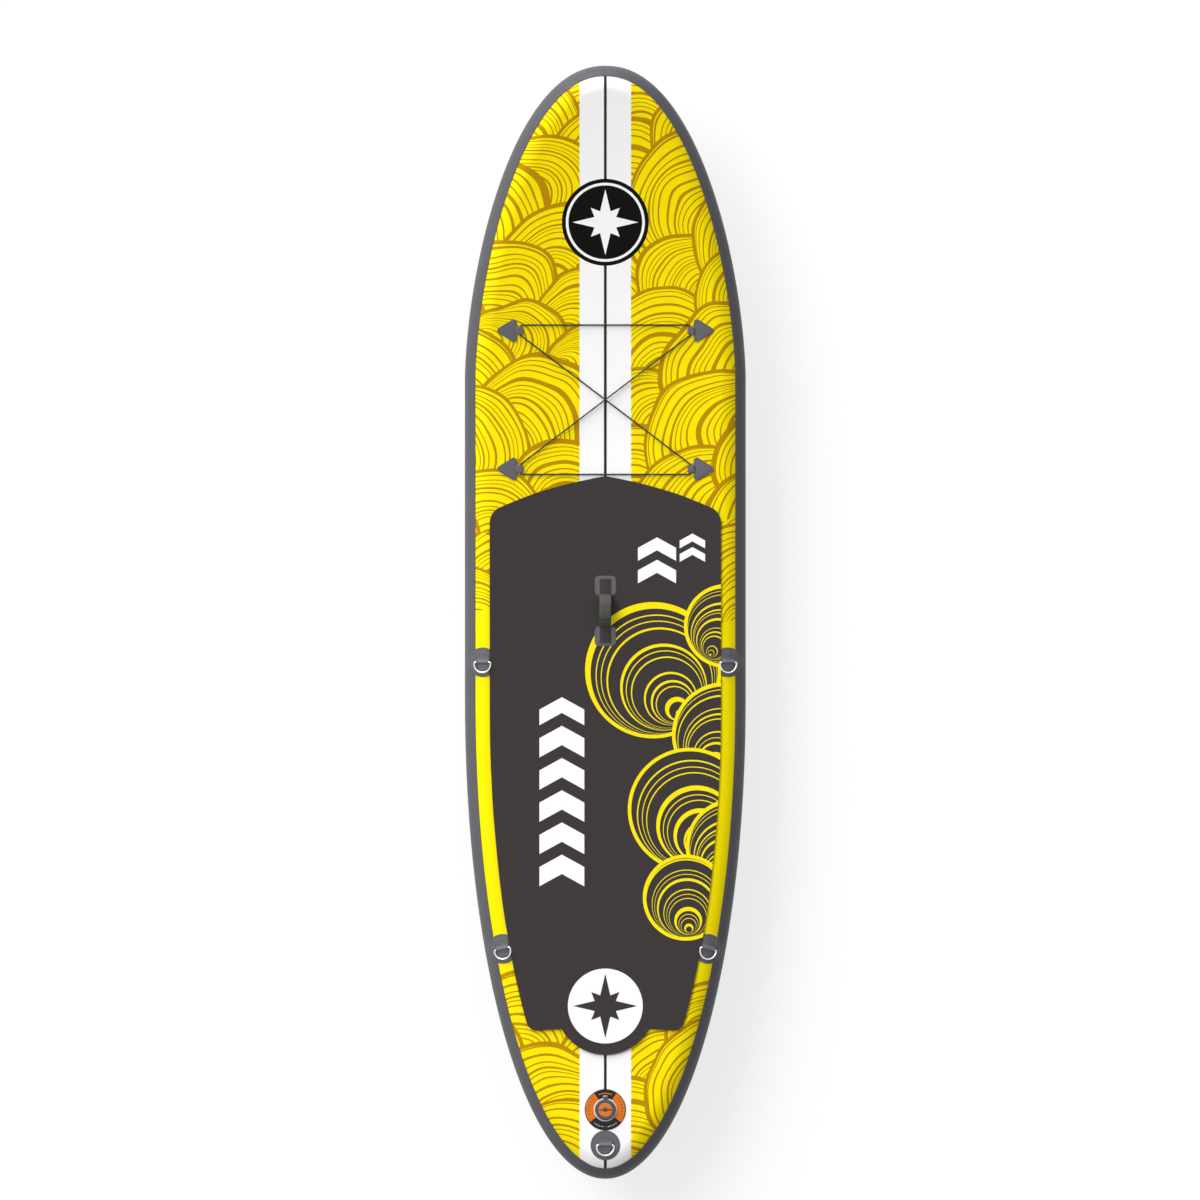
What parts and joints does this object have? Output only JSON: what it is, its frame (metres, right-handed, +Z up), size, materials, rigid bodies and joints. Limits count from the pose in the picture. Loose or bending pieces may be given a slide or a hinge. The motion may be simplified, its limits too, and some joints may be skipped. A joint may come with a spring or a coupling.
{
  "type": "inflatable stand-up paddle board",
  "caption": "Inflatable paddle board with a foam deck pad, a carry handle, D-rings, a bungee, an inflation valve and fins.",
  "frame": {"origin": "middle of the hull's flat bottom", "axes": "+Y to the nose, +X to the right of a rider who faces the nose, +Z up from the deck"},
  "size_m": [0.75, 2.972, 0.3803],
  "materials": {
    "deck_fabric": "satin coated fabric, yellow with a white stripe",
    "bottom_fabric": "satin coated fabric, white",
    "inner_strip": "coated fabric, grey",
    "rail_fabric": "satin coated fabric, grey",
    "yarn": "raw polyester yarn",
    "eva_foam": "brushed closed-cell foam",
    "patch": "satin moulded patch, grey",
    "webbing": "woven webbing",
    "neoprene": "matte neoprene sleeve",
    "steel": "polished stainless steel",
    "elastic": "braided elastic cord",
    "rubber": "matte rubber",
    "label": "printed ring, black and orange",
    "white_plastic": "moulded, white",
    "grey_plastic": "moulded, grey",
    "black_plastic": "moulded, black",
    "brass": "machined"
  },
  "bodies": {
    "board": {"deck_skin": "deck_fabric", "bottom_skin": "bottom_fabric", "inner_sidewall_left": "inner_strip", "inner_sidewall_right": "inner_strip", "rail_band_left": "rail_fabric", "rail_band_right": "rail_fabric", "drop_stitch_core": "yarn", "deck_pad": "eva_foam", "handle_patch_front": "patch", "handle_patch_rear": "patch", "handle_webbing_sewn_front": "webbing", "handle_webbing_sewn_rear": "webbing", "handle_webbing_leg_front": "webbing", "handle_webbing_leg_rear": "webbing", "d_ring_patch_front_right": "patch", "d_ring_patch_front_left": "patch", "d_ring_patch_rear_right": "patch", "d_ring_patch_rear_left": "patch", "d_ring_patch_tail": "patch", "d_ring_strap_front_right": "patch", "d_ring_strap_front_left": "patch", "d_ring_strap_rear_right": "patch", "d_ring_strap_rear_left": "patch", "d_ring_strap_tail": "patch", "bungee_anchor_front_right": "patch", "bungee_anchor_front_left": "patch", "bungee_anchor_rear_right": "patch", "bungee_anchor_rear_left": "patch", "bungee_cord": "elastic", "valve_label": "label", "valve_gasket": "rubber", "valve_nut": "black_plastic", "valve_body": "white_plastic", "valve_spring": "steel", "side_fin_base_right": "black_plastic", "side_fin_base_left": "black_plastic", "side_fin_right": "black_plastic", "side_fin_left": "black_plastic", "fin_box_patch": "patch", "fin_box": "black_plastic"},
    "handle": {"handle_webbing_span": "webbing", "handle_grip": "neoprene"},
    "ring_front_right": {"d_ring_front_right": "steel"},
    "ring_front_left": {"d_ring_front_left": "steel"},
    "ring_rear_right": {"d_ring_rear_right": "steel"},
    "ring_rear_left": {"d_ring_rear_left": "steel"},
    "ring_tail": {"d_ring_tail": "steel"},
    "valve_collar": {"valve_cap_ring": "white_plastic"},
    "valve_lid": {"valve_cap": "grey_plastic"},
    "valve_slider": {"valve_seal": "rubber"},
    "valve_plunger": {"valve_stem": "white_plastic"},
    "sliding_fin": {"centre_fin": "black_plastic", "fin_pin": "brass", "fin_plate": "brass"},
    "thumb_screw": {"fin_screw": "black_plastic"}
  },
  "joints": [
    {"name": "handle_swing", "type": "hinge", "parent": "board", "child": "handle", "pos_m": [0, 0.0307, 0.1571], "axis": [0, 1, 0], "range_deg": [-45, 45], "stiffness_Nm_per_rad": 0.15, "deforming": ["handle_webbing_leg_front", "handle_webbing_leg_rear"]},
    {"name": "front_right_ring_swing", "type": "hinge", "parent": "board", "child": "ring_front_right", "pos_m": [0.32832, -0.1065, 0.15119], "axis": [-0.9392, 0, 0.3434], "range_deg": [0, 180]},
    {"name": "front_left_ring_swing", "type": "hinge", "parent": "board", "child": "ring_front_left", "pos_m": [-0.32832, -0.1065, 0.15119], "axis": [-0.9392, 0, -0.3434], "range_deg": [0, 180]},
    {"name": "rear_right_ring_swing", "type": "hinge", "parent": "board", "child": "ring_rear_right", "pos_m": [0.27563, -0.87187, 0.15036], "axis": [-0.9033, 0.2169, 0.3701], "range_deg": [0, 180]},
    {"name": "rear_left_ring_swing", "type": "hinge", "parent": "board", "child": "ring_rear_left", "pos_m": [-0.27563, -0.87187, 0.15036], "axis": [-0.9033, -0.2169, -0.3701], "range_deg": [0, 180]},
    {"name": "tail_ring_swing", "type": "hinge", "parent": "board", "child": "ring_tail", "pos_m": [0, -1.396, 0.1556], "axis": [-1, 0, 0], "range_deg": [0, 180]},
    {"name": "cap_swivel", "type": "hinge", "parent": "board", "child": "valve_collar", "pos_m": [0, -1.3014, 0.1525], "axis": [0, 0, 1], "range_deg": [-130, 130]},
    {"name": "cap_flip", "type": "hinge", "parent": "valve_collar", "child": "valve_lid", "pos_m": [0, -1.2649, 0.1554], "axis": [-1, 0, 0], "range_deg": [0, 165]},
    {"name": "stem_push", "type": "slide", "parent": "board", "child": "valve_slider", "axis": [0, 0, -1], "range_m": [0, 0.006], "stiffness_N_per_m": 600, "springref_m": -0.004, "deforming": ["valve_spring"]},
    {"name": "stem_lock_turn", "type": "hinge", "parent": "valve_slider", "child": "valve_plunger", "pos_m": [0, -1.3014, 0.14], "axis": [0, 0, -1], "range_deg": [0, 90]},
    {"name": "fin_slide", "type": "slide", "parent": "board", "child": "sliding_fin", "axis": [0, 1, 0], "range_m": [-0.018, 0.018]},
    {"name": "fin_screw_turn", "type": "hinge", "parent": "sliding_fin", "child": "thumb_screw", "pos_m": [0, -0.995, -0.02], "axis": [0, 0, 1], "range_deg": [0, 720]}
  ]
}
